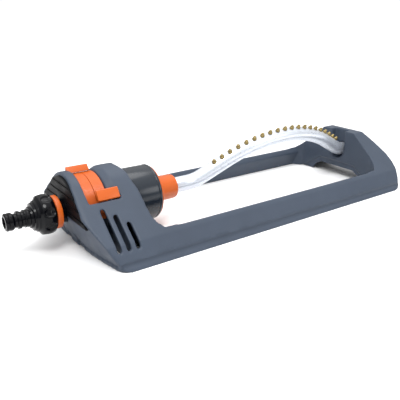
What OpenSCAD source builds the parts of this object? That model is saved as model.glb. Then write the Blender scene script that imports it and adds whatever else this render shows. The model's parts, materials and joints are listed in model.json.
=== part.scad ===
// Oscillating garden sprinkler. X runs along the sprinkler from the hose inlet,
// Z is up, and the origin is on the ground under the middle of its outline.
// Inside the modules, x is the station measured from the tip of the hose nipple
// and z is the height above the swing axis.

/* [Overall] */
// Length from the nipple tip to the far end of the frame
total_len = 456; // [454:1:458]
// Width of the frame across its feet
frame_w = 164; // [160:1:170]
// Height of the swing axis above the ground
axis_h = 34.5; // [34:0.5:36]
// Wall thickness of the moulded frame
wall = 3; // [2.5:0.5:3.5]

/* [Frame] */
// Radius of the rounded top of the gear hood round the swing axis
hood_r = 34.3; // [34:0.1:35]
// Distance of the flank's crease from the centre plane
crease_y = 70; // [68:1:72]
// Depth of the flank's crease below the swing axis
crease_z = 14; // [13:1:15]
// Station of the hood's left face
hood_x0 = 50; // [49:0.5:51]
// Station of the hood's right face
hood_x1 = 110; // [109:1:112]
// Depth of the rail tops below the swing axis
rail_top = 11.3; // [11:0.1:12]
// Distance of the rails' inner faces from the centre plane
rail_in = 60; // [58:1:61]
// Station of the end bracket's inner face
bracket_x = 411; // [409:1:413]
// Height of the end bracket's top above the swing axis
bracket_top = 25; // [24:0.5:27]

/* [Hose inlet] */
// Outside diameter of the quick-connect nipple
nipple_d = 15.8; // [15.6:0.1:16]
// Diameter of the threaded inlet
thread_d = 26.4; // [26:0.1:26.6]
// Diameter over the grip of the hose connector
grip_d = 36.6; // [35:0.2:38]
// Diameter of the fixed water tube that the motor swings on
inlet_d = 16; // [15:0.5:16]

/* [Range rings] */
// Outside radius of the two range rings
ring_r = 30.8; // [30.4:0.1:31]
// Inside radius of the two range rings
ring_bore = 27.5; // [27.2:0.1:27.8]
// Length of each ring along the swing axis
ring_w = 10.1; // [9.9:0.1:10.3]
// Place of the front tab, degrees forward of the top
front_tab = 60; // [56:0.5:60]
// Place of the rear tab, degrees behind the top
rear_tab = 13; // [10:1:16]

/* [Water motor] */
// Outside radius of the motor housing
motor_r = 27; // [26.5:0.1:27]
// Station of the motor housing's right end
motor_x1 = 140.6; // [139:0.2:142]
// Gear module
gear_m = 0.8; // [0.8:0.1:0.8]
// Teeth on the fixed gear
fixed_teeth = 28; // [28:4:28]
// Teeth on each large wheel
wheel_teeth = 21; // [21:1:21]
// Teeth on each pinion
pinion_teeth = 9; // [9:1:9]

/* [Spray tube] */
// Outside diameter of the spray tube
tube_d = 15.6; // [15:0.2:16]
// Wall thickness of the spray tube
tube_wall = 1.2; // [1:0.1:1.5]
// Rise of the tube's arch above the swing axis
arch_rise = 38.9; // [36:0.5:40]
// Half the length of the arch
arch_half = 119.5; // [116:0.5:121]
// Station of the top of the arch
arch_mid = 305.2; // [304:0.2:306]
// Slope of the straight runs of the arch, in degrees
arch_slope = 28.6; // [27:0.1:30]
// Radius of the bends at the foot of the arch
bend_r = 35; // [30:1:38]
// Number of spray nozzles
nozzle_count = 20; // [16:1:20]
// Distance between nozzles along the tube
nozzle_pitch = 9.94; // [9.5:0.02:10]
// Angle the tube rests at, leaning towards the front
swing_rest = 22.5; // [0:0.5:25]

/* [Hidden] */
$fn = 64;
eps = 0.01;

frame_blue = "#5f6d80";
black = "#17181c";
orange = "#ee6f2b";
slate = "#44525f";
steel = "#b9bec4";
cream = "#e6e2d4";
tube_white = "#e8ecf2";
brass = "#a8873c";
rubber = "#26262a";

// Stations along the inlet and the motor
grip_x0 = 28;
grip_x1 = 41.6;
ring_x0 = 62.6;
ring_gap = 0.3;
slot_x0 = ring_x0 - 0.4;
slot_x1 = ring_x0 + 2 * ring_w + 2 * ring_gap + 0.2;
cap_x0 = slot_x1 + 3.4;
fixed_x = cap_x0 + 4.6;
train_x = fixed_x + 4.8;
plate_x = train_x + 8;
jet_x = plate_x + 6;
wheel_x = jet_x + 5;
spider_x = wheel_x + 10;
collar_x1 = 168;
tube_x0 = 150;
tube_x1 = arch_mid + arch_half + 1.2;
plug_x1 = tube_x1 + 2.4;
pocket_x1 = 421.5;
bush_x = plug_x1 + 1.6;

// Fits and radii inside the motor
fit = 0.05;
inlet_r = inlet_d / 2;
shell_in = motor_r - 2.5;
gear_add = 0.8 * gear_m;
pin_r = 1;
axis_1 = gear_m * (fixed_teeth + pinion_teeth) / 2;
mesh_d = gear_m * (wheel_teeth + pinion_teeth) / 2;
gear1_z = -axis_1;
gear2_z = -axis_1 / 2;
gear2_y = sqrt(mesh_d * mesh_d - gear2_z * gear2_z);
gear_lean = atan2(gear2_z - gear1_z, gear2_y);
lever_z = 15.5;

// Range stops: the trip lever's finger stands at the top of the motor
tube_back = 30;
tube_front = 25;
stop_margin = 18;
front_stop = 90 + swing_rest + tube_front + stop_margin;
rear_stop = 90 + swing_rest - tube_back - stop_margin;

// Moves a shape from the swing axis at the nipple tip to its place
module place() { translate([-total_len / 2, 0, axis_h]) children(); }

// Turns what hangs on the swing axis to the angle the tube rests at
module swing() { place() rotate([swing_rest, 0, 0]) children(); }

// Cylinder along the swing axis between two stations
module rod(r, x0, x1) { translate([x0, 0, 0]) rotate([0, 90, 0]) cylinder(r = r, h = x1 - x0); }

// Tube along the swing axis between two stations
module pipe(r, bore, x0, x1) {
    difference() {
        rod(r, x0, x1);
        rod(bore, x0 - 1, x1 + 1);
    }
}

// Cone along the swing axis between two stations
module cone(r0, r1, x0, x1) { translate([x0, 0, 0]) rotate([0, 90, 0]) cylinder(r1 = r0, r2 = r1, h = x1 - x0); }

// Extrudes an outline drawn in (y, z) along X
module along_x(x0, x1) { translate([x0, 0, 0]) rotate([90, 0, 90]) linear_extrude(x1 - x0) children(); }

// Extrudes an outline drawn in (x, z) to both sides of the centre plane
module along_y(half) { rotate([90, 0, 0]) linear_extrude(2 * half, center = true) children(); }

function arc(cx, cy, r, a0, a1, n) = [for (i = [0:n]) let (a = a0 + (a1 - a0) * i / n) [cx + r * cos(a), cy + r * sin(a)]];

// ---- Frame -------------------------------------------------------------

// Half outline of the frame's cross-section, inset by t, from the top to the foot
function flank_angle(t) = let (y = crease_y - 0.78 * t, z = -crease_z - 0.646 * t)
    atan2(z, y) + acos((hood_r - t) / norm([y, z]));
function half_section(t) = concat(
    arc(0, 0, hood_r - t, 90, flank_angle(t), 12),
    [[crease_y - 0.78 * t, -crease_z - 0.646 * t], [frame_w / 2 - 1.16 * t, -axis_h - (t > 0 ? 1 : 0)]]);
module section(t) {
    h = half_section(t);
    polygon(concat(h, [for (i = [len(h) - 1:-1:1]) [-h[i][0], h[i][1]]]));
}

// Side outline: hood, rails and end bracket, inset by t
fillet = 26;
function curve(a, b, c, n) = [for (i = [0:n]) let (k = i / n) a * (1 - k) * (1 - k) + b * 2 * k * (1 - k) + c * k * k];
module side_outline(t) {
    z0 = -axis_h - (t > 0 ? 1 : 0);
    polygon(concat(
        [[hood_x0 + t, z0], [hood_x0 + t, -1], [hood_x0 + 4 + t, hood_r + 1], [slot_x0, hood_r + 1]],
        curve([slot_x1, ring_r + 0.6 - t], [slot_x1 + 8, hood_r + 0.6 - t], [hood_x1 - 12, hood_r + 0.4 - t], 5),
        curve([hood_x1 - 8, hood_r + 0.2 - t], [hood_x1 - 1 - t, hood_r - 1 - t], [hood_x1 - 1 - t, 24], 4),
        arc(hood_x1 + 2 - t + fillet, fillet - rail_top - t, fillet, 180, 270, 8),
        arc(bracket_x + t - 20, 20 - rail_top - t, 20, 270, 360, 8),
        [[bracket_x + t, bracket_top - t]],
        curve([bracket_x + 18, bracket_top - t], [bracket_x + 32 - t, 9 - t], [total_len - t, 3 - axis_h], 7),
        [[total_len - t, z0]]));
}

// Ends of the frame: leaning prisms with a slightly bowed face and rounded corners
left_foot = 60.5;
left_lean = atan((left_foot - hood_x0) / (axis_h - 1));
right_lean = -16.4;
module end_prism(lean, bow, corner, t) {
    w = frame_w / 2 + 1;
    a = asin((w - corner) / (bow - corner));
    cx = bow - (bow - corner) * cos(a);
    h = total_len / 3;
    translate([0, 0, -axis_h]) rotate([0, -lean, 0]) translate([0, 0, -h]) linear_extrude(2 * h + 84) polygon(concat(
        arc(bow, 0, bow - t, 180 - a, 180 + a, 8),
        arc(cx, corner - w, corner - t, 180 + a, 270, 6),
        [[total_len, t - w], [total_len, w - t]],
        arc(cx, w - corner, corner - t, 90, 180 - a, 6)));
}

module frame_body(t) {
    intersection() {
        along_x(hood_x0 - 6, total_len + 1) section(t);
        along_y(frame_w) side_outline(t);
        translate([left_foot, 0, 0]) end_prism(left_lean, 430, 13, t);
        translate([total_len, 0, 0]) mirror([1, 0, 0]) end_prism(right_lean, 736, 33.4, t);
    }
}

// The gap between the rails, grown by t
module rail_gap(t) {
    x0 = hood_x1 + 1 - t;
    x1 = bracket_x + 2 + t;
    w = rail_in + t;
    r = 20;
    half = [[w + 8, -axis_h - 3], [w + 1, -rail_top - 5], [w + 4.5, -rail_top], [w + 4.5, hood_r + 5]];
    intersection() {
        along_x(x0, x1) polygon(concat(half, [for (i = [3:-1:0]) [-half[i][0], half[i][1]]]));
        translate([0, 0, -axis_h - 4]) linear_extrude(axis_h + hood_r + 12) polygon(concat(
            arc(x1 - r, w + 9 - r, r, 0, 90, 5), arc(x0 + r, w + 9 - r, r, 90, 180, 5),
            arc(x0 + r, r - w - 9, r, 180, 270, 5), arc(x1 - r, r - w - 9, r, 270, 360, 5)));
    }
}

// The arched ways through the end bracket's inner and outer walls
module way(foot, knee, head, x0, x1) {
    half = [[foot, -axis_h - 2], knee, head];
    along_x(x0, x1) polygon(concat(half, [for (i = [2:-1:0]) [-half[i][0], half[i][1]]]));
}
module under_bracket() {
    way(62, [39, -23], [27, -15], bracket_x - 22, bracket_x + wall + 1);
    way(40, [34, -27], [26, -23], bracket_x, total_len + 5);
}

// The slot over the range rings, between two angles from the top
slot_half = 69;
lip_w = 9;
seat_r = 35.6;
module slot_sector(from, to) { polygon(concat([[0, 0]], arc(0, 0, 60, 90 + from, 90 + to, 12))); }
module ring_slot() {
    along_x(slot_x0, slot_x1) slot_sector(-slot_half, slot_half);
    rod(ring_r + 1, slot_x0, slot_x1);
    // Chamfered lip on the motor's side
    intersection() {
        difference() {
            rod(60, slot_x1 - 0.1, slot_x1 + lip_w);
            cone(ring_r + 0.4, hood_r + 1, slot_x1 - 0.1, slot_x1 + lip_w);
        }
        along_x(slot_x1 - 1, slot_x1 + lip_w + 1) slot_sector(-slot_half, slot_half);
    }
    // Shallow seats that let the two tabs down beside the slot
    for (seat = [[slot_x1 - 0.5, slot_x1 + 8, 48, slot_half], [slot_x0 - 3.5, slot_x0 + 0.5, -slot_half, -5]])
        intersection() {
            difference() {
                rod(60, seat[0], seat[1]);
                rod(seat_r, seat[0] - 1, seat[1] + 1);
            }
            along_x(seat[0], seat[1]) slot_sector(seat[2], seat[3]);
        }
}

vent_x = [70.8, 79.6, 88.2];
vent_top = [9.5, 4.5, -1.5];
vent_low = -20;
vent_w = 3.8;
module vents() {
    for (side = [-1, 1], i = [0:2])
        translate([vent_x[i], side * 80, 0]) rotate([90, 0, 0]) linear_extrude(82, center = true) {
            translate([-vent_w / 2, vent_low + vent_w / 2])
                square([vent_w, vent_top[i] - vent_low - vent_w]);
            translate([0, vent_low + vent_w / 2]) circle(vent_w / 2);
            translate([0, vent_top[i] - vent_w / 2]) circle(vent_w / 2);
        }
}

// Walls inside the hood and the bracket
module frame_walls() {
    intersection() {
        frame_body(0);
        union() {
            translate([hood_x0 - 1, -90, -60]) cube([slot_x0 - hood_x0 + 1, 180, 120]);
            translate([slot_x1, -90, -60]) cube([3, 180, 120]);
            translate([hood_x1 - 5, -90, -60]) cube([3.5, 180, 120]);
            translate([bracket_x, -90, -60]) cube([wall, 180, 120]);
            translate([bracket_x, -13, -14]) cube([27, 26, 60]);
        }
    }
}

pocket_half = 10.4;
module base_frame() {
    color(frame_blue) place() {
        difference() {
            frame_body(0);
            difference() {
                frame_body(wall);
                frame_walls();
                rail_gap(wall);
            }
            rail_gap(0);
            under_bracket();
            ring_slot();
            vents();
            rod(motor_r + 0.5, slot_x1 + 3, hood_x1 + 5);
            rod(24.3, slot_x1 - 2, slot_x1 + 4);
            rod(11, hood_x0 - 6, slot_x0 + 1);
            // Recess for the louvred panel
            panel_recess(0);
            // Pocket that takes the tube's end, open at the top
            rod(pocket_half, bracket_x - 4, pocket_x1);
            translate([bracket_x - 4, -pocket_half, 0]) cube([pocket_x1 - bracket_x + 4, 2 * pocket_half, 60]);
            rod(tube_d / 2 + 0.7, pocket_x1 - 1, bush_x);
            rod(5.5, bush_x - 1, bush_x + 4);
            // Recesses in the slanted lower wall of the hood
            translate([left_foot, 0, -axis_h]) rotate([0, -left_lean, 0])
                for (y = [-21, 7]) translate([-6, y, -3]) cube([7.6, 14, 17]);
        }
        // Necks that the range rings turn on
        pipe(ring_bore - fit, 11, slot_x0 - 1, slot_x0 + 6);
        pipe(ring_bore - fit, 24.3, slot_x1 - 6.8, slot_x1 + 0.5);
    }
}

// ---- Louvred panel -----------------------------------------------------

panel_t = 3;
panel_low = -2;
module panel_recess(gap) {
    intersection() {
        along_x(hood_x0 - 6, hood_x0 + 4.4 - gap) section(3.2 + gap);
        translate([hood_x0 - 7, -70, panel_low + gap]) cube([20, 140, 60]);
    }
}
module louvre_panel() {
    color(black) place() difference() {
        intersection() {
            panel_recess(0);
            translate([hood_x0 + 1.4, -70, -20]) cube([panel_t, 140, 80]);
        }
        rod(11, hood_x0 - 6, slot_x0);
    }
    color("#5a5d63") place() for (z = [1.7:7.6:25])
        difference() {
            intersection() {
                panel_recess(0.4);
                translate([hood_x0 + 0.7, -70, z]) cube([0.9, 140, 1]);
            }
            rod(15.1, hood_x0 - 6, slot_x0);
        }
}

// ---- Hose inlet --------------------------------------------------------

grip_lobes = 8;
module tap_connector() {
    r = nipple_d / 2;
    color(black) place() {
        difference() {
            union() {
                cone(r - 1, r, 0, 1.5);
                rod(r, 1.5, 6);
                cone(r, r - 1.6, 6, 8);
                rod(r - 1.6, 8, 10.5);
                rod(r, 10.5, 13);
                cone(r, r - 1, 13, 14);
                rod(r - 1, 14, 16);
                rod(r, 16, 22);
                cone(r + 1.6, 13, 21.5, 25);
                rod(13.6, 25, grip_x0);
                cone(13.6, grip_d / 2, grip_x0 - 1, grip_x0 + 3);
                rod(grip_d / 2, grip_x0 + 3, grip_x1 - 2.5);
                cone(grip_d / 2, 15.5, grip_x1 - 2.5, grip_x1);
            }
            rod(5, -1, grip_x0);
            rod(thread_d / 2 + 0.1, grip_x0 - 0.6, grip_x1 + 1);
            for (i = [0:grip_lobes - 1]) rotate([360 / grip_lobes * (i + 0.5), 0, 0])
                translate([0, 0, grip_d / 2 + 2.6]) rod(4.2, grip_x0, grip_x1 + 1);
        }
    }
}

module inlet_washer() {
    color(rubber) place() pipe(thread_d / 2 - 0.2, 7, grip_x0 - 0.6, grip_x0 + 1.9);
}

module inlet_filter() {
    color(cream) place() {
        pipe(9, 6.9, grip_x0 + 1.9, grip_x0 + 2.9);
        pipe(7.9, 6.9, grip_x0 + 2.9, grip_x0 + 9);
        rod(7.9, grip_x0 + 9, grip_x0 + 10);
    }
}

inlet_bore = 5.5;
module inlet_tube() {
    color(black) place() {
        difference() {
            union() {
                rod(thread_d / 2, grip_x0 + 2.9, grip_x1);
                rod(11, grip_x1 - 1, slot_x0 + 6.4);
                rod(inlet_r, slot_x0 + 6, fixed_x - 0.4);
                rod(6.6, fixed_x - 1, fixed_x + 4);
            }
            rod(8.2, grip_x0 + 1, grip_x0 + 11);
            rod(inlet_bore, grip_x0, fixed_x + 5);
            pipe(12, 7, slot_x0 + 7, slot_x0 + 8.6);
        }
    }
}

module inlet_ring() {
    color(orange) place() pipe(14.9, 11, grip_x1 + 0.4, grip_x1 + 5.6);
}

module retaining_clip() {
    color(steel) place() difference() {
        pipe(12.5, 7, slot_x0 + 7.1, slot_x0 + 8.5);
        translate([slot_x0 + 6, -6, -20]) cube([4, 12, 20]);
    }
}

// ---- Gears -------------------------------------------------------------

// Involute tooth outline: n teeth, tooth 0 centred on angle turn
pressure = 25;
backlash = 0.16;
function inv(a) = tan(a) * 180 / PI - a;
function flank_pt(rb, r, half) = let (a = acos(min(1, rb / r)), th = half - inv(a)) [r, th];
function gear_pts(n, turn) = let (
        rp = gear_m * n / 2,
        rb = rp * cos(pressure),
        ra = rp + gear_add,
        rr = rp - 1.15 * gear_m,
        half = 90 / n - backlash / (2 * rp) * 180 / PI + inv(pressure),
        r0 = max(rb, rr),
        flank = [for (i = [0:4]) flank_pt(rb, r0 + (ra - r0) * i / 4, half)])
    [for (k = [0:n - 1]) let (c = turn + 360 * k / n)
        each concat(
            [[rr * cos(c - flank[0][1] - 1), rr * sin(c - flank[0][1] - 1)]],
            [for (p = flank) [p[0] * cos(c - p[1]), p[0] * sin(c - p[1])]],
            [for (i = [4:-1:0]) let (p = flank[i]) [p[0] * cos(c + p[1]), p[0] * sin(c + p[1])]],
            [[rr * cos(c + flank[0][1] + 1), rr * sin(c + flank[0][1] + 1)]])];

module gear(n, turn, x0, x1) { along_x(x0, x1) polygon(gear_pts(n, turn)); }

module fixed_gear() {
    color(cream) swing() difference() {
        gear(fixed_teeth, -90, fixed_x, fixed_x + 3.6);
        rod(6.6, fixed_x - 1, fixed_x + 5);
    }
}

// Compound wheel: pinion and large wheel on one hub, turning on a pin
module compound(pinion_turn, px0, px1, wheel_turn, wx0) {
    difference() {
        union() {
            gear(pinion_teeth, pinion_turn, px0, px1);
            gear(wheel_teeth, wheel_turn, wx0, wx0 + 2.4);
        }
        rod(pin_r + fit, px0 - 1, wx0 + 10);
    }
}

module gear_1() {
    color(cream) swing() translate([0, 0, gear1_z])
        compound(90 + 180 / pinion_teeth, fixed_x, train_x + 0.2, gear_lean, train_x);
}

module gear_2() {
    color(cream) swing() translate([0, gear2_y, gear2_z])
        compound(180 + gear_lean + 180 / pinion_teeth, train_x - 0.1, train_x + 3.8, 180 - gear_lean, train_x + 3.6);
}

module gear_pin_1() {
    color(steel) swing() translate([0, 0, gear1_z]) rod(pin_r, cap_x0 + 1.5, plate_x + 2);
}

module gear_pin_2() {
    color(steel) swing() translate([0, gear2_y, gear2_z]) rod(pin_r, train_x - 0.2, plate_x + 2);
}

module turbine_shaft() {
    color(steel) swing() rod(pin_r, train_x + 2.6, spider_x + 2.4);
}

module turbine_pinion() {
    color(cream) swing() difference() {
        gear(pinion_teeth, -gear_lean + 180 / pinion_teeth, train_x + 3.4, train_x + 7);
        rod(pin_r, train_x, train_x + 8);
    }
}

blade_count = 12;
module turbine_wheel() {
    color(tube_white) swing() difference() {
        union() {
            rod(4, wheel_x - 1, wheel_x + 7);
            rod(9, wheel_x + 2.6, wheel_x + 3.8);
            for (i = [0:blade_count - 1]) rotate([360 / blade_count * i, 0, 0])
                translate([wheel_x, -0.6, 3]) cube([6.4, 1.2, 13]);
        }
        rod(pin_r, wheel_x - 2, wheel_x + 8);
    }
}

// ---- Water motor -------------------------------------------------------

screw_at = [30, 145, 215];
module motor_housing() {
    color(slate) swing() difference() {
        union() {
            pipe(motor_r, shell_in, cap_x0 + 1.6, motor_x1);
            rod(shell_in + 0.5, motor_x1 - 3, motor_x1);
            intersection() {
                for (a = screw_at) rotate([a, 0, 0]) translate([0, 22, 0]) rod(2.9, cap_x0 + 4.6, cap_x0 + 12);
                rod(shell_in + 0.5, cap_x0, motor_x1);
            }
        }
        rod(9.4, motor_x1 - 5, motor_x1 + 1);
        for (a = screw_at) rotate([a, 0, 0]) translate([0, 22, 0]) rod(1.1, cap_x0 + 4, cap_x0 + 10);
    }
}

module motor_cap() {
    color(black) swing() difference() {
        union() {
            rod(motor_r, cap_x0, cap_x0 + 1.6);
            rod(shell_in - 0.1, cap_x0 + 1.5, cap_x0 + 4.6);
        }
        rod(inlet_r + fit, cap_x0 - 1, cap_x0 + 6);
        rod(inlet_r + 2, cap_x0 + 1, cap_x0 + 3);
        translate([0, 0, gear1_z]) rod(pin_r, cap_x0 + 1.5, cap_x0 + 6);
        translate([0, 0, lever_z]) rod(1.75 + fit, cap_x0 - 1, cap_x0 + 6);
        for (a = screw_at) rotate([a, 0, 0]) translate([0, 22, 0]) {
            rod(1.1, cap_x0 - 1, cap_x0 + 6);
            rod(2.2, cap_x0 - 1, cap_x0 + 1.2);
        }
    }
}

module cap_screws() {
    color(steel) swing() for (a = screw_at) rotate([a, 0, 0]) translate([0, 22, 0]) {
        difference() {
            union() {
                rod(2.1, cap_x0 + 0.1, cap_x0 + 1.2);
                rod(1.1, cap_x0 + 1, cap_x0 + 9.8);
            }
            translate([cap_x0 - 0.2, -0.4, -1.6]) cube([0.8, 0.8, 3.2]);
            translate([cap_x0 - 0.2, -1.6, -0.4]) cube([0.8, 3.2, 0.8]);
        }
    }
}

module swing_seal() {
    color(rubber) swing() pipe(inlet_r + 2, inlet_r + fit, cap_x0 + 1.1, cap_x0 + 2.9);
}

module gear_plate() {
    color(cream) swing() difference() {
        rod(shell_in - 0.1, plate_x, plate_x + 2);
        translate([0, 0, gear1_z]) rod(pin_r, plate_x - 1, plate_x + 3);
        translate([0, gear2_y, gear2_z]) rod(pin_r, plate_x - 1, plate_x + 3);
        rod(pin_r + fit, plate_x - 1, plate_x + 3);
        translate([0, 0, lever_z]) rod(1.75 + fit, plate_x - 1, plate_x + 3);
        for (a = [40, 140, 180, 215]) rotate([a, 0, 0]) translate([0, 17, 0]) rod(3.5, plate_x - 1, plate_x + 3);
    }
}

jet_off = 8;
module jet_plate() {
    color(cream) swing() difference() {
        rod(shell_in - 0.1, jet_x, jet_x + 2);
        rod(3, jet_x - 1, jet_x + 3);
        for (s = [-1, 1]) rotate([s * jet_off, 0, 0]) translate([0, 0, 17]) rod(1.7, jet_x - 1, jet_x + 3);
    }
}

module shaft_spider() {
    color(cream) swing() difference() {
        union() {
            pipe(shell_in - 0.1, shell_in - 2, spider_x, spider_x + 2.4);
            for (a = [30, 150, 270]) rotate([a, 0, 0]) translate([spider_x, 0, -1.2]) cube([2.4, shell_in - 1, 2.4]);
            rod(3.5, spider_x, spider_x + 2.4);
        }
        rod(pin_r + fit, spider_x - 1, spider_x + 4);
    }
}

// Lever that the ring stops push over: a finger among the rings, a shaft through
// the cap, and a vane that closes one jet or the other
vane_turn = -10;
finger_x0 = ring_x0 + ring_w - 3;
module trip_lever() {
    color(black) swing() translate([0, 0, lever_z]) {
        rod(1.75, cap_x0 - 5, plate_x + 5.2);
        rotate([vane_turn, 0, 0]) {
            rod(3.6, cap_x0 - 5, cap_x0 - 0.4);
            translate([cap_x0 - 3.4, -1.4, 1.6]) cube([2.8, 2.8, 6]);
            translate([finger_x0, -1.4, 5.2]) cube([cap_x0 - 3 - finger_x0, 2.8, 2.4]);
        }
        rotate([vane_turn, 0, 0]) along_x(plate_x + 3.4, plate_x + 5.2)
            polygon(concat([[0, -1.6], [1.6, 0]], arc(0, 0, 5.4, 55, 125, 6), [[-1.6, 0]]));
    }
}

// Leaf that snaps the lever over its middle position
module trip_spring() {
    color(steel) swing() translate([0, 0, lever_z]) {
        translate([cap_x0 - 4, -5.6, -5.1]) cube([3.2, 11.2, 0.5]);
        for (s = [-1, 1]) translate([cap_x0 - 4, s * 5.6 - 0.25, -5.1]) cube([4, 0.5, 3.5]);
    }
}

// ---- Output collar and spray tube --------------------------------------

module output_collar() {
    color(orange) swing() {
        difference() {
            union() {
                rod(9.4, motor_x1 - 4, motor_x1 + 1);
                rod(25.6, motor_x1, motor_x1 + 1.4);
                cone(25.6, 14, motor_x1 + 1.4, motor_x1 + 5.4);
                cone(14, 12.4, motor_x1 + 5.4, motor_x1 + 9);
                rod(12.4, motor_x1 + 9, collar_x1 - 2.4);
                cone(12.4, 10.6, collar_x1 - 2.4, collar_x1);
            }
            rod(6.2, motor_x1 - 5, tube_x0);
            rod(tube_d / 2, tube_x0, collar_x1 + 1);
            rod(tube_d / 2 + 1.8, tube_x0 + 4, tube_x0 + 6.2);
        }
    }
}

module tube_seal() {
    color(rubber) swing() pipe(tube_d / 2 + 1.8, tube_d / 2, tube_x0 + 4, tube_x0 + 6.2);
}

// The arch: a middle arc, two straight runs and two bends, all in one plane
tube_r = tube_d / 2;
sum_r = (arch_half * sin(arch_slope) - arch_rise * cos(arch_slope)) / (1 - cos(arch_slope));
run_l = (arch_rise - sum_r * (1 - cos(arch_slope))) / sin(arch_slope);
top_r = sum_r - bend_r;
arch_x0 = arch_mid - arch_half;
arch_x1 = arch_mid + arch_half;

// Place and slope of a point s millimetres along the arch from its left foot
bend_s = bend_r * arch_slope * PI / 180;
top_s = top_r * arch_slope * PI / 180;
arch_s = 2 * (bend_s + run_l + top_s);
function left_pose(s) =
    s < 0 ? [arch_x0 + s, 0, 0] :
    s < bend_s ? let (a = s / bend_r * 180 / PI) [arch_x0 + bend_r * sin(a), bend_r * (1 - cos(a)), a] :
    s < bend_s + run_l ? [arch_x0 + bend_r * sin(arch_slope) + (s - bend_s) * cos(arch_slope),
        bend_r * (1 - cos(arch_slope)) + (s - bend_s) * sin(arch_slope), arch_slope] :
    let (a = (arch_s / 2 - s) / top_r * 180 / PI) [arch_mid - top_r * sin(a), arch_rise - top_r * (1 - cos(a)), a];
function arch_pose(s) = s <= arch_s / 2 ? left_pose(s) :
    let (q = left_pose(arch_s - s)) [2 * arch_mid - q[0], q[1], -q[2]];

// Tube swept along the arch, from the collar to the plug
function steps(a, b, n) = [for (i = [0:n - 1]) a + (b - a) * i / n];
tube_s = concat([tube_x0 - arch_x0], steps(0, bend_s, 5), steps(bend_s, bend_s + run_l, 1),
    steps(bend_s + run_l, arch_s - bend_s - run_l, 16), steps(arch_s - bend_s - run_l, arch_s - bend_s, 1),
    steps(arch_s - bend_s, arch_s, 5), [arch_s, arch_s + tube_x1 - arch_x1]);
tube_sides = 24;
module swept(r) {
    n = tube_sides;
    rings = len(tube_s);
    points = [for (s = tube_s, i = [0:n - 1]) let (q = arch_pose(s), a = 360 * i / n)
        [q[0] - r * sin(a) * sin(q[2]), r * cos(a), q[1] + r * sin(a) * cos(q[2])]];
    sides = [for (k = [0:rings - 2], i = [0:n - 1]) let (j = (i + 1) % n)
        [k * n + i, (k + 1) * n + i, (k + 1) * n + j, k * n + j]];
    polyhedron(points, concat([[for (i = [0:n - 1]) i]], sides, [[for (i = [n - 1:-1:0]) (rings - 1) * n + i]]));
}

nozzle_s0 = 35.7;
module at_nozzles() {
    for (i = [0:nozzle_count - 1]) {
        q = arch_pose(nozzle_s0 + i * nozzle_pitch);
        translate([q[0], 0, q[1]]) rotate([0, -q[2], 0]) children();
    }
}

module spray_tube() {
    color(tube_white) swing() difference() {
        swept(tube_r);
        swept((tube_r - tube_wall) / cos(180 / tube_sides));
        for (end = [tube_x0 - 1, tube_x1 - 0.5]) rod(tube_r - tube_wall, end, end + 1.5);
        at_nozzles() cylinder(r = 1.35, h = tube_r + 2, $fn = 16);
    }
}

module spray_nozzles() {
    color(brass) swing() at_nozzles() difference() {
        union() {
            translate([0, 0, tube_r - tube_wall - 0.6]) cylinder(r = 1.3, h = 2);
            translate([0, 0, tube_r]) cylinder(r = 2.5, h = 1.8);
            translate([0, 0, tube_r + 1.7]) cylinder(r1 = 1.9, r2 = 1.4, h = 2.4);
        }
        cylinder(r = 0.5, h = tube_r + 6);
    }
}

module end_plug() {
    color(tube_white) swing() {
        rod(tube_r - tube_wall, arch_x1, tube_x1 + 0.1);
        rod(tube_r, tube_x1, plug_x1 - 1);
        cone(tube_r, tube_r - 1, plug_x1 - 1, plug_x1);
        rod(4, plug_x1 - 0.5, bush_x + 2.6);
    }
}

module bracket_bush() {
    color(orange) place() pipe(5.5, 4 + fit, bush_x - 1.6, bush_x + 3);
}

// ---- Range rings -------------------------------------------------------

// Open ring, a little over half a turn, with an inner stop lug; angles in degrees about +X from +Y
module open_ring(x0, from, to, lug_x0, stop) {
    translate([x0, 0, 0]) rotate([90, 0, 90]) rotate([0, 0, from])
        rotate_extrude(angle = to - from) translate([ring_bore, 0]) square([ring_r - ring_bore, ring_w]);
    rotate([stop, 0, 0]) translate([lug_x0, ring_bore - 6.3, -1.1]) cube([3.6, 7.3, 2.2]);
}

tab_l = 20.5;
tab_t = 2.4;

// The rear tab leans back from its ring like a fin
module rear_range_ring() {
    fin = [[29.5, -2.4], [31.4, -4.6], [37.6, -1.4], [36.8, 1.6], [32, -0.6], [29.5, 0.6]];
    tab_x0 = ring_x0 - 2.4;
    color(orange) place() {
        open_ring(ring_x0, 6, 196, ring_x0 + ring_w - 3.6, rear_stop);
        difference() {
            rotate([90 - rear_tab, 0, 0]) along_x(tab_x0, tab_x0 + tab_l) polygon([for (p = fin) [p[0], -p[1]]]);
            rod(seat_r + 0.3, tab_x0 - 1, ring_x0);
            rod(ring_r + 0.4, ring_x0 + ring_w, tab_x0 + tab_l + 1);
            rod(ring_bore + 1, ring_x0 - 1, ring_x0 + ring_w + 1);
        }
    }
}

// The front tab is a plate on a short stem, lying close to the flank
module front_range_ring() {
    x0 = ring_x0 + ring_w + ring_gap;
    plate_in = 36.4;
    plate_w = 10.4;
    color(orange) place() {
        open_ring(x0, -2, 188, x0, front_stop);
        rotate([90 + front_tab, 0, 0]) {
            translate([x0 + 1, ring_r - 1.5, -3]) cube([ring_w - 2, plate_in - ring_r + 2, 6]);
            translate([0, plate_in, 0]) rotate([4, 0, 0])
                translate([x0 - 2, 0, -plate_w / 2]) cube([tab_l, tab_t, plate_w]);
        }
    }
}

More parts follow.
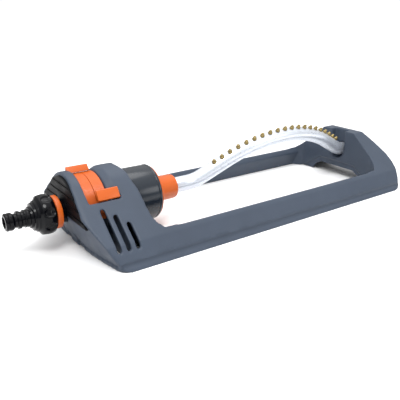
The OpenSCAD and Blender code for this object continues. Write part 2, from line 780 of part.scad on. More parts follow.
base_frame();
louvre_panel();
tap_connector();
inlet_washer();
inlet_filter();
inlet_tube();
inlet_ring();
retaining_clip();
fixed_gear();
rear_range_ring();
front_range_ring();
motor_housing();
motor_cap();
cap_screws();
swing_seal();
gear_plate();
gear_pin_1();
gear_pin_2();
gear_1();
gear_2();
turbine_pinion();
turbine_wheel();
turbine_shaft();
jet_plate();
shaft_spider();
trip_lever();
trip_spring();
output_collar();
tube_seal();
spray_tube();
spray_nozzles();
end_plug();
bracket_bush();
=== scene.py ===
import json
import math

import bmesh
import bpy
from mathutils import Matrix, Vector


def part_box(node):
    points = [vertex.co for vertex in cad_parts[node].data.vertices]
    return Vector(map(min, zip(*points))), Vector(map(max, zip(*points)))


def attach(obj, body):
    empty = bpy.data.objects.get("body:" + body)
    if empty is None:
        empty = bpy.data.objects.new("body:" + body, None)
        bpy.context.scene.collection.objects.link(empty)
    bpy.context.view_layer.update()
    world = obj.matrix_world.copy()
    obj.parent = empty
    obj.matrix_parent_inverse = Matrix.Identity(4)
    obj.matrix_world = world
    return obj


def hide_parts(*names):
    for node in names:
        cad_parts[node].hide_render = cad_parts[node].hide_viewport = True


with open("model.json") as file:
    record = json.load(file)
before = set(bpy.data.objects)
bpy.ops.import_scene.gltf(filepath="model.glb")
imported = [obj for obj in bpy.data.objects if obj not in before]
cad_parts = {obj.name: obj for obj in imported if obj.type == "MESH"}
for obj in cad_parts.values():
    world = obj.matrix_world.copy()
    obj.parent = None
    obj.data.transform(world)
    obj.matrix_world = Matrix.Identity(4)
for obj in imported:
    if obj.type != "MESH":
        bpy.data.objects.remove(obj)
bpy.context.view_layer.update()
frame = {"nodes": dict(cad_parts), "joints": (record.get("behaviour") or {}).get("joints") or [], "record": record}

# ---- Camera, floor and light ----------------------------------------------
# A plain white table under a bright ceiling and three soft lamps. The camera
# stands in front, towards the hose end, and slightly above the sprinkler.

MM = 0.001
CAMERA_AT = Vector((-0.3288, -0.4290, 0.2089))
CAMERA_AZIMUTH = math.radians(-35.2)
CAMERA_DOWN = math.radians(20.6)
SENSOR_WIDTH, LENS = 36, 47.5
FLOOR_HALF = 60
PAPER_WHITE = 0.93
# Brightness of the studio's walls and ceiling by height: a white band behind the
# floor's far edge, dim walls above it, and a bright ceiling
SKY_LEVELS = [(0.0, 0.55), (1.0, 1.0), (0.016, 0.55), (0.03, 0.1)]
SKY_STRENGTH = 1.9

scene = bpy.context.scene
camera_data = bpy.data.cameras.new("camera")
camera_data.sensor_width = SENSOR_WIDTH
camera_data.lens = LENS
camera = bpy.data.objects.new("camera", camera_data)
camera.location = CAMERA_AT
camera.rotation_euler = (math.pi / 2 - CAMERA_DOWN, 0, CAMERA_AZIMUTH)
scene.collection.objects.link(camera)
scene.camera = camera

floor_mesh = bpy.data.meshes.new("floor")
bm = bmesh.new()
bmesh.ops.create_grid(bm, x_segments=1, y_segments=1, size=FLOOR_HALF)
bm.to_mesh(floor_mesh)
bm.free()
floor = bpy.data.objects.new("floor", floor_mesh)
scene.collection.objects.link(floor)
paper = bpy.data.materials.new("paper")
paper.use_nodes = True
paper_shader = paper.node_tree.nodes["Principled BSDF"]
paper_shader.inputs["Base Color"].default_value = (PAPER_WHITE, PAPER_WHITE, PAPER_WHITE, 1)
paper_shader.inputs["Roughness"].default_value = 0.9
paper_shader.inputs["Specular IOR Level"].default_value = 0.1
floor_mesh.materials.append(paper)

world = bpy.data.worlds.new("studio")
world.use_nodes = True
sky = world.node_tree.nodes.new("ShaderNodeTexCoord").outputs["Generated"]
height = world.node_tree.nodes.new("ShaderNodeSeparateXYZ")
ramp = world.node_tree.nodes.new("ShaderNodeValToRGB")
stops = ramp.color_ramp.elements
for i, (place, level) in enumerate(SKY_LEVELS):
    stop = stops[i] if i < 2 else stops.new(place)
    stop.position = place
    stop.color = (level, level, level, 1)
world.node_tree.links.new(sky, height.inputs["Vector"])
world.node_tree.links.new(height.outputs["Z"], ramp.inputs["Fac"])
backdrop = world.node_tree.nodes["Background"]
world.node_tree.links.new(ramp.outputs["Color"], backdrop.inputs["Color"])
backdrop.inputs["Strength"].default_value = SKY_STRENGTH
scene.world = world
scene.view_settings.view_transform = "Standard"


def lamp(name, place, aim, size, power):
    """A round soft lamp of the given size in metres and power in watts, turned to its aim."""
    data = bpy.data.lights.new(name, "AREA")
    data.shape = "DISK"
    data.size = size
    data.energy = power
    obj = bpy.data.objects.new(name, data)
    obj.location = place
    obj.rotation_euler = (Vector(aim) - Vector(place)).to_track_quat("-Z", "Y").to_euler()
    scene.collection.objects.link(obj)


lamp("key", (-0.45, -0.55, 1.25), (0, 0, 0.02), 0.5, 9)
lamp("top", (0.25, 0.25, 1.4), (0, 0, 0), 0.9, 6)
lamp("fill", (0.7, -1.1, 0.5), (0.05, 0, 0.03), 0.5, 2)

# ---- Frame moulding --------------------------------------------------------
# One injection moulding in blue-grey plastic with a fine spark texture: the
# hood over the motor, two rails and the end bracket. The mould leaves every
# edge slightly rounded, so the shape is resampled and relaxed.

joints = {j["name"]: j for j in frame["joints"]}
AXIS_Z = joints["tube_swing"]["pos_m"][2]
TIP_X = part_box("tap_connector")[0].x


def station(x):
    """Place along X of a station given in millimetres from the tip of the hose nipple."""
    return TIP_X + x * MM


def new_piece(name, bm, body, slot, *nodes):
    """Makes a smooth object from a finished bmesh, ties it to its body and hides its CAD nodes. The slot is not
    used.
    """
    mesh = bpy.data.meshes.new(name)
    bm.to_mesh(mesh)
    bm.free()
    mesh.shade_smooth()
    obj = bpy.data.objects.new(name, mesh)
    scene.collection.objects.link(obj)
    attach(obj, body)
    if nodes:
        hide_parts(*nodes)
    return obj


def shader_of(name):
    """A new material with its node tree, shader and the object's own coordinates."""
    mat = bpy.data.materials.new(name)
    mat.use_nodes = True
    tree = mat.node_tree
    place = tree.nodes.new("ShaderNodeTexCoord").outputs["Object"]
    return mat, tree, tree.nodes["Principled BSDF"], place


def noise(tree, place, size, detail=4, rough=0.55):
    """Noise whose features are about size metres across."""
    node = tree.nodes.new("ShaderNodeTexNoise")
    node.inputs["Scale"].default_value = 1 / size
    node.inputs["Detail"].default_value = detail
    node.inputs["Roughness"].default_value = rough
    tree.links.new(place, node.inputs["Vector"])
    return node.outputs["Fac"]


NOISE_LOW, NOISE_HIGH = 0.3, 0.7  # Most of a noise's values lie between these


def spread(tree, value, low, high):
    """Maps the middle of a noise's range to low..high."""
    node = tree.nodes.new("ShaderNodeMapRange")
    node.inputs["From Min"].default_value = NOISE_LOW
    node.inputs["From Max"].default_value = NOISE_HIGH
    node.inputs["To Min"].default_value = low
    node.inputs["To Max"].default_value = high
    tree.links.new(value, node.inputs["Value"])
    return node.outputs["Result"]


def tint(tree, value, dark, light):
    """Colour between dark and light, chosen by a value from 0 to 1."""
    node = tree.nodes.new("ShaderNodeMix")
    node.data_type = "RGBA"
    node.inputs["A"].default_value = (*dark, 1)
    node.inputs["B"].default_value = (*light, 1)
    tree.links.new(value, node.inputs["Factor"])
    return node.outputs["Result"]


def relief(tree, shader, value, depth):
    """Bump of the given depth in metres, added on what the shader already has."""
    node = tree.nodes.new("ShaderNodeBump")
    node.inputs["Distance"].default_value = depth
    node.inputs["Strength"].default_value = 1
    tree.links.new(value, node.inputs["Height"])
    normal = shader.inputs["Normal"]
    if normal.is_linked:
        tree.links.new(normal.links[0].from_socket, node.inputs["Normal"])
    tree.links.new(node.outputs["Normal"], normal)


MOTTLE = 0.06
GLOSS_CHANGE = 0.12
EDGE_FROM, EDGE_TO = 0.53, 0.60  # Pointiness where the paler edge (part wear, part painted highlight) starts and where it is full
FLOW_SIZE, GLOSS_SIZE, GRAIN_SIZE, WAVE_SIZE = 0.035, 0.012, 0.0007, 0.02
WAVE_DEPTH = 4  # Depth of the slow waves, in depths of the fine texture


def moulded(name, colour, rough, texture, edge, shine=0.5):
    """Moulded plastic: slight flow marks, uneven gloss, a fine texture and paler edges that are part wear and part
    painted highlight.
    """
    mat, tree, shader, place = shader_of(name)
    dark = tuple(c * (1 - MOTTLE) for c in colour)
    light = tuple(c * (1 + MOTTLE) for c in colour)
    # Convex edges are painted paler by pointiness: part wear, part painted highlight of the light caught on
    # rounded edges.
    worn_and_highlit = tuple(c + (1 - c) * edge * 0.5 for c in colour)
    flow = spread(tree, noise(tree, place, FLOW_SIZE, 3), 0, 1)
    body = tint(tree, flow, dark, light)
    bend = tree.nodes.new("ShaderNodeNewGeometry").outputs["Pointiness"]
    ramp = tree.nodes.new("ShaderNodeMapRange")
    ramp.inputs["From Min"].default_value = EDGE_FROM
    ramp.inputs["From Max"].default_value = EDGE_TO
    ramp.inputs["To Max"].default_value = edge
    tree.links.new(bend, ramp.inputs["Value"])
    mix = tree.nodes.new("ShaderNodeMix")
    mix.data_type = "RGBA"
    tree.links.new(ramp.outputs["Result"], mix.inputs["Factor"])
    tree.links.new(body, mix.inputs["A"])
    mix.inputs["B"].default_value = (*worn_and_highlit, 1)
    tree.links.new(mix.outputs["Result"], shader.inputs["Base Color"])
    patches = noise(tree, place, GLOSS_SIZE, 5)
    gloss = spread(tree, patches, rough * (1 - GLOSS_CHANGE), rough * (1 + GLOSS_CHANGE))
    tree.links.new(gloss, shader.inputs["Roughness"])
    shader.inputs["Specular IOR Level"].default_value = shine
    relief(tree, shader, noise(tree, place, GRAIN_SIZE, 2), texture)
    relief(tree, shader, noise(tree, place, WAVE_SIZE, 2), texture * WAVE_DEPTH)
    return mat


FRAME_BLUE = (0.046, 0.060, 0.086)
frame_plastic = moulded("frame plastic", FRAME_BLUE, 0.45, 0.00002, edge=0.03, shine=0.25)

VOXEL = 0.0010
RELAX_STEPS = 5
TRIANGLES_KEPT = 0.42
MERGE_DIST = 0.000002


def applied(obj):
    """Bakes an object's modifiers into its mesh."""
    graph = bpy.context.evaluated_depsgraph_get()
    mesh = bpy.data.meshes.new_from_object(obj.evaluated_get(graph))
    obj.modifiers.clear()
    obj.data = mesh


bm = bmesh.new()
bm.from_mesh(frame["nodes"]["base_frame"].data)
bmesh.ops.remove_doubles(bm, verts=bm.verts, dist=MERGE_DIST)
moulding = new_piece("frame_moulding", bm, "base", "frame_plastic", "base_frame")
remesh = moulding.modifiers.new("resample", "REMESH")
remesh.mode = "VOXEL"
remesh.voxel_size = VOXEL
remesh.use_smooth_shade = True
relax = moulding.modifiers.new("relax", "SMOOTH")
relax.factor = 0.5
relax.iterations = RELAX_STEPS
applied(moulding)

# The hood's left end and the frame's foot, in stations and in mm about the swing axis. The end is
# rounded over END_LONG along X and END_DEEP in depth, as far in as the panel's edge at END_FLAT.
# Above the foot's lip the skirt is LIP_DEEP further in, which fades out over LIP_FADE.
HOOD_X0 = 50
HOOD_R = 34.3
CREASE_Y, CREASE_Z = 70, -14
FOOT_X0 = 60.5
END_STRAIGHT = 1
END_LONG, END_DEEP, END_FLAT = 7.0, 2.6, 3.1
LIP_TOP, LIP_DEEP, LIP_FADE = 3.6, 1.5, 9.0
SKIRT_Y, SKIRT_X = 78, 66.5
STEEP = 0.6
end_slope = (FOOT_X0 - HOOD_X0) / (AXIS_Z / MM - END_STRAIGHT)
crease_away = math.hypot(CREASE_Y, CREASE_Z)
touch_angle = math.atan2(CREASE_Z, CREASE_Y) + math.acos(HOOD_R / crease_away)
flank_normal = (math.cos(touch_angle), math.sin(touch_angle))


def under_skin(y, z):
    """Depth in mm of a point under the hood's arch and flanks, and the outward direction there."""
    side = 1 if y >= 0 else -1
    if math.atan2(z, abs(y)) > touch_angle:
        r = math.hypot(y, z)
        return HOOD_R - r, (y / r, z / r)
    depth = HOOD_R - abs(y) * flank_normal[0] - z * flank_normal[1]
    return depth, (side * flank_normal[0], flank_normal[1])


facing = [vert.normal.copy() for vert in moulding.data.vertices]
for vert, normal in zip(moulding.data.vertices, facing):
    x, y, z = (vert.co.x - TIP_X) / MM, vert.co.y / MM, (vert.co.z - AXIS_Z) / MM
    end_x = HOOD_X0 + max(0, -z - END_STRAIGHT) * end_slope
    behind = x - end_x
    if behind < END_LONG:
        depth, out = under_skin(y, z)
        if depth < END_FLAT:
            back = min(1, max(0, 1 - behind / END_LONG))
            sink = END_DEEP * (1 - math.sqrt(1 - back * back)) * (1 - max(0, depth) / END_FLAT)
            vert.co.y -= out[0] * sink * MM
            vert.co.z -= out[1] * sink * MM
    high = vert.co.z / MM
    flat = normal.xy
    skirt = abs(y) > SKIRT_Y or x < SKIRT_X
    outward = flat.length > STEEP and flat.y * y >= 0
    if skirt and outward and LIP_TOP < high < LIP_TOP + LIP_FADE:
        fade = 1 - (high - LIP_TOP) / LIP_FADE
        vert.co.x -= flat.x * LIP_DEEP * fade * MM
        vert.co.y -= flat.y * LIP_DEEP * fade * MM
thin = moulding.modifiers.new("thin", "DECIMATE")
thin.ratio = TRIANGLES_KEPT
applied(moulding)
moulding.data.materials.clear()
moulding.data.materials.append(frame_plastic)
moulding.data.shade_smooth()

# ---- Hose connector --------------------------------------------------------
# Glossy black connector screwed on the inlet: a stepped quick-connect nipple
# with grooves, a stepped shoulder, and a bowed grip with eight oval hollows.

TURN_STEPS = 96
SPIN_MERGE = 0.000001
BLACK = (0.0015, 0.0018, 0.003)
black_plastic = moulded("black plastic", BLACK, 0.13, 0.000008, edge=0.0, shine=0.16)


def turned(profile, soft, steps=TURN_STEPS, low=0, span=360):
    """Spins a closed outline of (station, radius) points, in mm, about the swing axis.

    Sharp corners are rounded by soft mm. A span under 360 degrees starts at low, counted from the
    rear side over the top, and its two ends are closed."""
    bm = bmesh.new()
    centre = Vector((0, 0, AXIS_Z))
    verts = [bm.verts.new((station(x), r * MM, AXIS_Z)) for x, r in profile]
    edges = [bm.edges.new((a, b)) for a, b in zip(verts, verts[1:] + verts[:1])]
    bmesh.ops.rotate(bm, verts=verts, cent=centre, matrix=Matrix.Rotation(math.radians(low), 3, "X"))
    whole = span >= 360
    if not whole:
        bmesh.ops.contextual_create(bm, geom=edges)
    bmesh.ops.spin(bm, geom=bm.faces[:] + bm.edges[:] + bm.verts[:], cent=centre, axis=(1, 0, 0),
                   angle=math.radians(span), steps=steps, use_merge=whole)
    bmesh.ops.remove_doubles(bm, verts=bm.verts, dist=SPIN_MERGE)
    bmesh.ops.recalc_face_normals(bm, faces=bm.faces)
    round_edges(bm, soft)
    return bm


def round_edges(bm, soft, angle=25, segments=3):
    """Bevels every edge whose faces meet at more than the angle, in degrees, by soft mm."""
    limit = math.radians(angle)
    sharp = [e for e in bm.edges if len(e.link_faces) == 2 and e.calc_face_angle(0) > limit]
    if soft and sharp:
        bmesh.ops.bevel(bm, geom=sharp, offset=soft * MM, offset_type="OFFSET", segments=segments,
                        profile=0.5, affect="EDGES", clamp_overlap=True, material=-1)


GRIP_X0, GRIP_X1 = 29.5, 40
GRIP_R = 18.3
GRIP_BOW = 1.2
GRIP_ROWS = 14
GRIP_LOBES = 8
LOBE_MID, LOBE_LONG = 35.2, 5.4
LOBE_WIDE = 13.5
LOBE_DEEP, LOBE_WALL, LOBE_ROUND = 1.7, 1.6, 0.8
grip = [(GRIP_X0 + (GRIP_X1 - GRIP_X0) * i / GRIP_ROWS, GRIP_R - GRIP_BOW * (2 * i / GRIP_ROWS - 1) ** 2)
        for i in range(GRIP_ROWS + 1)]
nipple = [(0, 6.8), (0.9, 7.9), (2.6, 7.9), (3.0, 7.5), (3.4, 7.5), (3.8, 7.9), (6, 7.9), (8, 6.3),
          (10.2, 6.3), (10.5, 7.9), (13, 7.9), (13.8, 6.9), (16, 6.9), (16.3, 7.9), (17.6, 7.9),
          (17.9, 7.5), (18.4, 7.5), (18.7, 7.9), (20.4, 7.9), (20.8, 9.6), (22.8, 9.8), (23.2, 12.2),
          (25.2, 12.6), (25.6, 13.6), (27.6, 14.2)]
bore = [(41.6, 15.4), (41.6, 13.5), (27.4, 13.5), (27.4, 5), (0, 5)]
bm = turned(nipple + grip + bore, 0.25, steps=2 * TURN_STEPS)
for vert in bm.verts:
    away = Vector((0, vert.co.y, vert.co.z - AXIS_Z))
    if away.length < (GRIP_R - GRIP_BOW - 0.3) * MM:
        continue
    along = ((vert.co.x - station(LOBE_MID)) / (LOBE_LONG * MM)) ** 2
    turn = math.degrees(math.atan2(away.y, away.z)) % (360 / GRIP_LOBES) - 180 / GRIP_LOBES
    inside = 1 - along - (turn / LOBE_WIDE) ** 2
    if inside > 0:
        hollow = LOBE_DEEP * MM * min(1, inside * LOBE_WALL) ** LOBE_ROUND
        vert.co -= away.normalized() * hollow
connector = new_piece("hose_connector", bm, "connector", "black_plastic", "tap_connector")
connector.data.materials.append(black_plastic)

# ---- Inlet ring ------------------------------------------------------------
# Plain orange ring on the inlet tube, between the connector and the hood.

ORANGE = (0.52, 0.092, 0.006)
orange_plastic = moulded("orange plastic", ORANGE, 0.34, 0.00001, edge=0.06, shine=0.4)
bm = turned([(42, 14.3), (42.5, 14.9), (46.6, 14.9), (47.2, 14.4), (47.2, 11), (42, 11)], 0.5)
inlet_ring = new_piece("inlet_cover_ring", bm, "base", "orange_plastic", "inlet_ring")
inlet_ring.data.materials.append(orange_plastic)

# ---- Range rings -----------------------------------------------------------
# Two open orange rings on necks in the hood, with fine ribs round them. Each
# has a tab to turn it by: a fin on the rear one, a plate on a stem on the front.

RING_R, RING_BORE, RING_W = 30.8, 27.5, 10.1
RING_X = (62.6, 73.0)
RING_STEPS = 72
RIB_COUNT, RIB_DEEP = 9, 0.22
RIB_FOOT, RIB_TOP = 0.12, 0.36
RING_EDGE = 0.5
# Start and span of each ring in degrees, the place of its stop and its tab, and how far the tab
# stands out to the left
REAR_START, FRONT_START, RING_SPAN = 6, -2, 190
REST_LEAN = 22.5
REAR_STOP, FRONT_STOP = 90 + REST_LEAN - 48, 90 + REST_LEAN + 43
REAR_TAB, FRONT_TAB = 77, 150
REAR_OUT, FRONT_OUT = 2.2, 2
TAB_L = 20.5
LUG_W = 3.6


def ribbed_ring(x0, start):
    """An open ring whose outside has low ribs running round it."""
    pitch = RING_W / RIB_COUNT
    ribs = []
    for i in range(RIB_COUNT):
        left, right = x0 + i * pitch, x0 + (i + 1) * pitch
        ribs += [(left + RIB_FOOT, RING_R - RIB_DEEP), (left + RIB_TOP, RING_R),
                 (right - RIB_TOP, RING_R), (right - RIB_FOOT, RING_R - RIB_DEEP)]
    outline = ribs + [(x0 + RING_W, RING_R - RING_EDGE), (x0 + RING_W, RING_BORE), (x0, RING_BORE),
                      (x0, RING_R - RING_EDGE)]
    return turned(outline, 0, steps=RING_STEPS, low=start, span=RING_SPAN)


def prism(bm, corners, reach, soft, segments=3):
    """Adds a prism with rounded edges: a face of (x, y, z) corners, drawn out along the vector reach."""
    part = bmesh.new()
    face = part.faces.new([part.verts.new(corner) for corner in corners])
    out = bmesh.ops.extrude_face_region(part, geom=[face])
    moved = [v for v in out["geom"] if isinstance(v, bmesh.types.BMVert)]
    bmesh.ops.translate(part, verts=moved, vec=reach)
    bmesh.ops.recalc_face_normals(part, faces=part.faces)
    round_edges(part, soft, segments=segments)
    mesh = bpy.data.meshes.new("prism")
    part.to_mesh(mesh)
    part.free()
    bm.from_mesh(mesh)
    bpy.data.meshes.remove(mesh)


def bar(bm, outline, degrees, x0, length, soft):
    """Adds a prism along X from the station x0. Its outline is (radial, tangential) points in mm, and
    degrees is the direction of the radius about the swing axis, counted from the rear side."""
    a = math.radians(degrees)
    turned_points = [(r * math.cos(a) - t * math.sin(a), r * math.sin(a) + t * math.cos(a))
                     for r, t in outline]
    corners = [(station(x0), y * MM, AXIS_Z + z * MM) for y, z in turned_points]
    prism(bm, corners, (length * MM, 0, 0), soft)


stop_lug = [(21.2, -1.1), (28.2, -1.1), (28.2, 1.1), (21.2, 1.1)]
rear_x, front_x = RING_X
rear = ribbed_ring(rear_x, REAR_START)
bar(rear, stop_lug, REAR_STOP, rear_x + RING_W - LUG_W, LUG_W, 0.3)
fin = [(31.2, 2.4), (31.5, 4.5), (37.5, 1.4), (36.8, -1.5), (34.4, -0.9), (31.2, 0.4)]
bar(rear, fin, REAR_TAB, rear_x - REAR_OUT, TAB_L, 0.45)
rear_ring = new_piece("rear_ring_ribbed", rear, "rear_ring", "orange_plastic", "rear_range_ring")
rear_ring.data.materials.append(orange_plastic)

front = ribbed_ring(front_x, FRONT_START)
bar(front, stop_lug, FRONT_STOP, front_x, LUG_W, 0.3)
stem = [(29.6, -3), (37.2, -3), (37.2, 3), (29.6, 3)]
bar(front, stem, FRONT_TAB, front_x + 1, RING_W - 2, 0.45)
plate = [(36.6, -5.1), (38.0, -5.1), (38.8, -4.4), (39.1, 4.6), (37.2, 5.1), (36.4, 4.6)]
bar(front, plate, FRONT_TAB, front_x - FRONT_OUT, TAB_L, 0.6)
front_ring = new_piece("front_ring_ribbed", front, "front_ring", "orange_plastic", "front_range_ring")
front_ring.data.materials.append(orange_plastic)

# ---- Motor housing ---------------------------------------------------------
# Glossy slate drum that swings with the tube. Its right rim is rounded over.

SLATE = (0.010, 0.015, 0.023)
slate_plastic = moulded("slate plastic", SLATE, 0.20, 0.000008, edge=0.03, shine=0.4)
DRUM_STEPS = 128
drum = [(88.6, 26.9), (136.9, 26.9), (137.2, 26.7), (137.6, 26.7), (137.9, 27), (139.4, 27),
        (140.2, 26.5), (140.6, 25.6), (140.6, 9.45), (137.6, 9.45), (137.6, 24.5), (88.6, 24.5)]
bm = turned(drum, 0.25, steps=DRUM_STEPS)
housing = new_piece("motor_drum", bm, "swing", "housing_plastic", "motor_housing")
housing.data.materials.append(slate_plastic)

# ---- Output collar ---------------------------------------------------------
# Orange collar welded to the drum's end: a coned flange and a sleeve round the tube.

sleeve = [(136.7, 9.35), (141.0, 9.35), (141.0, 25.5), (142.0, 25.4), (142.8, 22.5), (146, 15.2),
          (147.6, 13.4), (149.6, 12.5), (165.0, 12.3), (166.9, 11.8), (168, 10.6), (168, 7.85),
          (156.2, 7.85), (156.2, 9.6), (154, 9.6), (154, 7.85), (150, 7.85), (150, 6.2), (136.7, 6.2)]
bm = turned(sleeve, 0.3)
collar = new_piece("collar_sleeve", bm, "swing", "orange_plastic", "output_collar")
collar.data.materials.append(orange_plastic)

# ---- Spray tube ------------------------------------------------------------
# Aluminium tube, satin anodised and bent into an arch on a tube bender. It
# leans forward by the rest angle about the swing axis.

TUBE_R, TUBE_WALL = 7.8, 1.2
TUBE_SIDES = 48
BEND_STEPS, TOP_STEPS = 10, 36
ARCH_MID, ARCH_HALF, ARCH_RISE = 305.2, 119.5, 38.9
ARCH_SLOPE = math.radians(28.6)
BEND_R = 35.0
TUBE_X0, TUBE_X1 = 150.2, 425.9
# From each foot: a bend of BEND_R, a straight run and half of the top's bend, TOP_R. The two radii
# and the run follow from the arch's width, rise and slope.
SIN, COS = math.sin(ARCH_SLOPE), math.cos(ARCH_SLOPE)
SUM_R = (ARCH_HALF * SIN - ARCH_RISE * COS) / (1 - COS)
RUN_L = (ARCH_RISE - SUM_R * (1 - COS)) / SIN
TOP_R = SUM_R - BEND_R
TO_AXIS = Matrix.Translation((0, 0, AXIS_Z))
LEAN = TO_AXIS @ Matrix.Rotation(math.radians(REST_LEAN), 4, "X") @ TO_AXIS.inverted()


def tube_run(bm, ring, length, slope):
    """Draws the last ring of the tube out in a straight line and returns the new end ring."""
    out = bmesh.ops.extrude_edge_only(bm, edges=ring)
    moved = [v for v in out["geom"] if isinstance(v, bmesh.types.BMVert)]
    reach = (length * math.cos(slope) * MM, 0, length * math.sin(slope) * MM)
    bmesh.ops.translate(bm, verts=moved, vec=reach)
    edges = [e for e in out["geom"] if isinstance(e, bmesh.types.BMEdge)]
    return [e for e in edges if all(v in moved for v in e.verts)]


def tube_bend(bm, ring, x, z, turn, steps):
    """Draws the last ring round a bend centred on station x and height z, and returns the new end ring."""
    out = bmesh.ops.spin(bm, geom=ring, cent=(station(x), 0, AXIS_Z + z * MM), axis=(0, 1, 0),
                         angle=turn, steps=steps, use_merge=False)
    return [e for e in out["geom_last"] if isinstance(e, bmesh.types.BMEdge)]


left_foot, right_foot = ARCH_MID - ARCH_HALF, ARCH_MID + ARCH_HALF
bm = bmesh.new()
at_start = Matrix.Translation((station(TUBE_X0), 0, AXIS_Z)) @ Matrix.Rotation(math.pi / 2, 4, "Y")
bmesh.ops.create_circle(bm, cap_ends=False, segments=TUBE_SIDES, radius=TUBE_R * MM, matrix=at_start)
ring = list(bm.edges)
ring = tube_run(bm, ring, left_foot - TUBE_X0, 0)
ring = tube_bend(bm, ring, left_foot, BEND_R, -ARCH_SLOPE, BEND_STEPS)
ring = tube_run(bm, ring, RUN_L, ARCH_SLOPE)
ring = tube_bend(bm, ring, ARCH_MID, ARCH_RISE - TOP_R, 2 * ARCH_SLOPE, TOP_STEPS)
ring = tube_run(bm, ring, RUN_L, -ARCH_SLOPE)
ring = tube_bend(bm, ring, right_foot, BEND_R, -ARCH_SLOPE, BEND_STEPS)
tube_run(bm, ring, TUBE_X1 - right_foot, 0)
bmesh.ops.recalc_face_normals(bm, faces=bm.faces)
if max(bm.faces, key=lambda f: f.calc_center_median().z).normal.z < 0:
    bmesh.ops.reverse_faces(bm, faces=bm.faces)
bmesh.ops.solidify(bm, geom=bm.faces[:], thickness=TUBE_WALL * MM)
bmesh.ops.transform(bm, matrix=LEAN, verts=bm.verts)
tube = new_piece("arched_tube", bm, "swing", "tube_metal", "spray_tube")


def anodised(name, colour, rough):
    """Satin anodised aluminium: faint drawing marks along X and a soft uneven gloss."""
    mat, tree, shader, place = shader_of(name)
    cloud = spread(tree, noise(tree, place, 0.03, 3), 0, 1)
    dark = tuple(c * 0.95 for c in colour)
    tree.links.new(tint(tree, cloud, dark, colour), shader.inputs["Base Color"])
    stretch = tree.nodes.new("ShaderNodeMapping")
    stretch.inputs["Scale"].default_value = (0.02, 1, 1)
    tree.links.new(place, stretch.inputs["Vector"])
    marks = noise(tree, stretch.outputs["Vector"], 0.0006, 3)
    tree.links.new(spread(tree, marks, rough * 0.85, rough * 1.15), shader.inputs["Roughness"])
    shader.inputs["Metallic"].default_value = 0.55
    shader.inputs["Coat Weight"].default_value = 0.3
    shader.inputs["Coat Roughness"].default_value = 0.18
    relief(tree, shader, marks, 0.000004)
    return mat


tube_metal = anodised("anodised tube", (0.66, 0.70, 0.77), 0.30)
tube.data.materials.append(tube_metal)

# ---- Nozzles ---------------------------------------------------------------
# Twenty small brass jets pressed into the tube's top: a round foot and a
# tapered tip with a fine hole.

NOZZLE_COUNT, NOZZLE_PITCH, NOZZLE_S0 = 20, 9.94, 35.7
BEND_S, TOP_S = BEND_R * ARCH_SLOPE, TOP_R * ARCH_SLOPE
ARCH_S = 2 * (BEND_S + RUN_L + TOP_S)


def half_arch(s):
    """(station, height, slope) of a point s mm along the arch from its left foot, up to its top."""
    if s < BEND_S:
        a = s / BEND_R
        return left_foot + BEND_R * math.sin(a), BEND_R * (1 - math.cos(a)), a
    if s < BEND_S + RUN_L:
        past = s - BEND_S
        return left_foot + BEND_R * SIN + past * COS, BEND_R * (1 - COS) + past * SIN, ARCH_SLOPE
    a = (ARCH_S / 2 - s) / TOP_R
    return ARCH_MID - TOP_R * math.sin(a), ARCH_RISE - TOP_R * (1 - math.cos(a)), a


def on_arch(s):
    """The same for any point of the arch: the right half mirrors the left."""
    if s <= ARCH_S / 2:
        return half_arch(s)
    x, z, a = half_arch(ARCH_S - s)
    return 2 * ARCH_MID - x, z, -a


JET_STEPS = 28
jet = [(1.3, 6.1), (1.3, 7.75), (2.45, 7.75), (2.5, 8.2), (2.5, 9.3), (2.2, 9.65), (1.9, 9.7),
       (1.75, 10.3), (1.45, 11.6), (1.1, 11.8), (0.5, 11.8), (0.5, 6.1)]
bm = bmesh.new()
verts = [bm.verts.new((r * MM, 0, h * MM)) for r, h in jet]
for a, b in zip(verts, verts[1:] + verts[:1]):
    bm.edges.new((a, b))
bmesh.ops.spin(bm, geom=bm.verts[:] + bm.edges[:], cent=(0, 0, 0), axis=(0, 0, 1), angle=2 * math.pi,
               steps=JET_STEPS, use_merge=True)
bmesh.ops.remove_doubles(bm, verts=bm.verts, dist=SPIN_MERGE)
bmesh.ops.recalc_face_normals(bm, faces=bm.faces)
round_edges(bm, 0.12, angle=30, segments=2)
pattern = bpy.data.meshes.new("jet")
bm.to_mesh(pattern)
bm.free()
bm = bmesh.new()
for i in range(NOZZLE_COUNT):
    x, z, slope = on_arch(NOZZLE_S0 + i * NOZZLE_PITCH)
    before = len(bm.verts)
    bm.from_mesh(pattern)
    bm.verts.ensure_lookup_table()
    place = Matrix.Translation((station(x), 0, AXIS_Z + z * MM)) @ Matrix.Rotation(-slope, 4, "Y")
    bmesh.ops.transform(bm, matrix=LEAN @ place, verts=bm.verts[before:])
bpy.data.meshes.remove(pattern)
nozzles = new_piece("brass_jets", bm, "swing", "brass", "spray_nozzles")


def metal(name, colour, rough):
    """Turned or drawn metal, a little tarnished in patches."""
    mat, tree, shader, place = shader_of(name)
    tarnish = spread(tree, noise(tree, place, 0.004, 4), 0, 1)
    dark = tuple(c * 0.72 for c in colour)
    tree.links.new(tint(tree, tarnish, dark, colour), shader.inputs["Base Color"])
    gloss = spread(tree, noise(tree, place, 0.0015, 4), rough * 0.8, rough * 1.3)
    tree.links.new(gloss, shader.inputs["Roughness"])
    shader.inputs["Metallic"].default_value = 1
    relief(tree, shader, noise(tree, place, 0.0003, 2), 0.00001)
    return mat


brass = metal("brass", (0.30, 0.23, 0.10), 0.34)
nozzles.data.materials.append(brass)

# ---- Louvred panel ---------------------------------------------------------
# Black panel clipped into the hood's left face, with four low slats across it
# that stop short of the inlet.

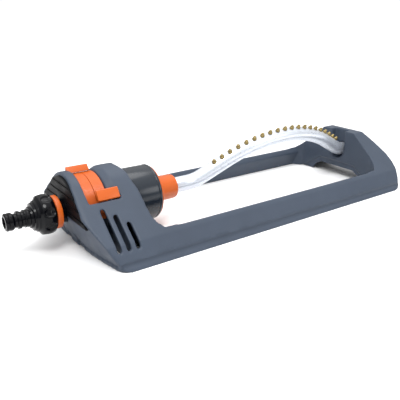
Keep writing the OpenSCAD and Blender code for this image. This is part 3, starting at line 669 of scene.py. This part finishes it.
SLAT_COUNT, SLAT_LOW, SLAT_PITCH = 4, 2.2, 7.6
SLAT_OUT, SLAT_GAP = 0.7, 0.6
INLET_CLEAR = 15.3
PANEL_IN = 3.2
PANEL_FACE = 51.4
panel_plastic = moulded("panel plastic", BLACK, 0.55, 0.00002, edge=0.0, shine=0.12)
# The slats' plastic is painted greyer than the panel's black: a painted highlight standing in for the light caught
# along the slats' edges.
slat_grey_painted_highlight = moulded("slat grey painted highlight", (0.01, 0.01, 0.012), 0.45, 0.00001, edge=0.0, shine=0.3)


def panel_half_width(z):
    """Half the width of the panel's opening at a height over the swing axis: an arch, then flanks."""
    r = HOOD_R - PANEL_IN
    if z > r * flank_normal[1]:
        return math.sqrt(max(0, r * r - z * z))
    return (r - z * flank_normal[1]) / flank_normal[0]


bm = bmesh.new()
for i in range(SLAT_COUNT):
    z = SLAT_LOW + SLAT_PITCH * i
    half = panel_half_width(z + 0.9) - SLAT_GAP
    inner = math.sqrt(max(0, INLET_CLEAR ** 2 - z * z))
    outer, root = PANEL_FACE - SLAT_OUT, PANEL_FACE + 0.2
    section = [(outer, z - 0.35), (outer, z + 0.25), (root, z + 0.55), (root, z - 0.5)]
    for y0, y1 in [(-half, -inner), (inner, half)] if inner else [(-half, half)]:
        corners = [(station(x), y0 * MM, AXIS_Z + h * MM) for x, h in section]
        prism(bm, corners, (0, (y1 - y0) * MM, 0), 0.15, segments=2)
slats = new_piece("louvre_slats", bm, "base", "black_plastic")
slats.data.materials.append(slat_grey_painted_highlight)

# ---- Inside the motor, and small fittings -----------------------------------
# Acetal gears and plates, steel pins, spring and screws, rubber seals. They
# keep their CAD shapes and get the materials of their slots.

acetal = moulded("acetal", (0.74, 0.71, 0.62), 0.36, 0.000008, edge=0.05)
plug_plastic = moulded("plug plastic", (0.50, 0.53, 0.57), 0.32, 0.000008, edge=0.05)
steel = metal("steel", (0.60, 0.61, 0.63), 0.3)
rubber = moulded("rubber", (0.018, 0.018, 0.020), 0.7, 0.00003, edge=0.0)
FINISHES = {"frame_plastic": frame_plastic, "black_plastic": black_plastic,
            "orange_plastic": orange_plastic, "housing_plastic": slate_plastic,
            "tube_metal": tube_metal, "end_plastic": plug_plastic, "brass": brass, "acetal": acetal,
            "steel": steel, "rubber": rubber}
for part in frame["record"]["subparts"]:
    node = frame["nodes"][part["node"]]
    node.data.materials.clear()
    node.data.materials.append(FINISHES[part["material_slot"]])
frame["nodes"]["louvre_panel"].data.materials[0] = panel_plastic
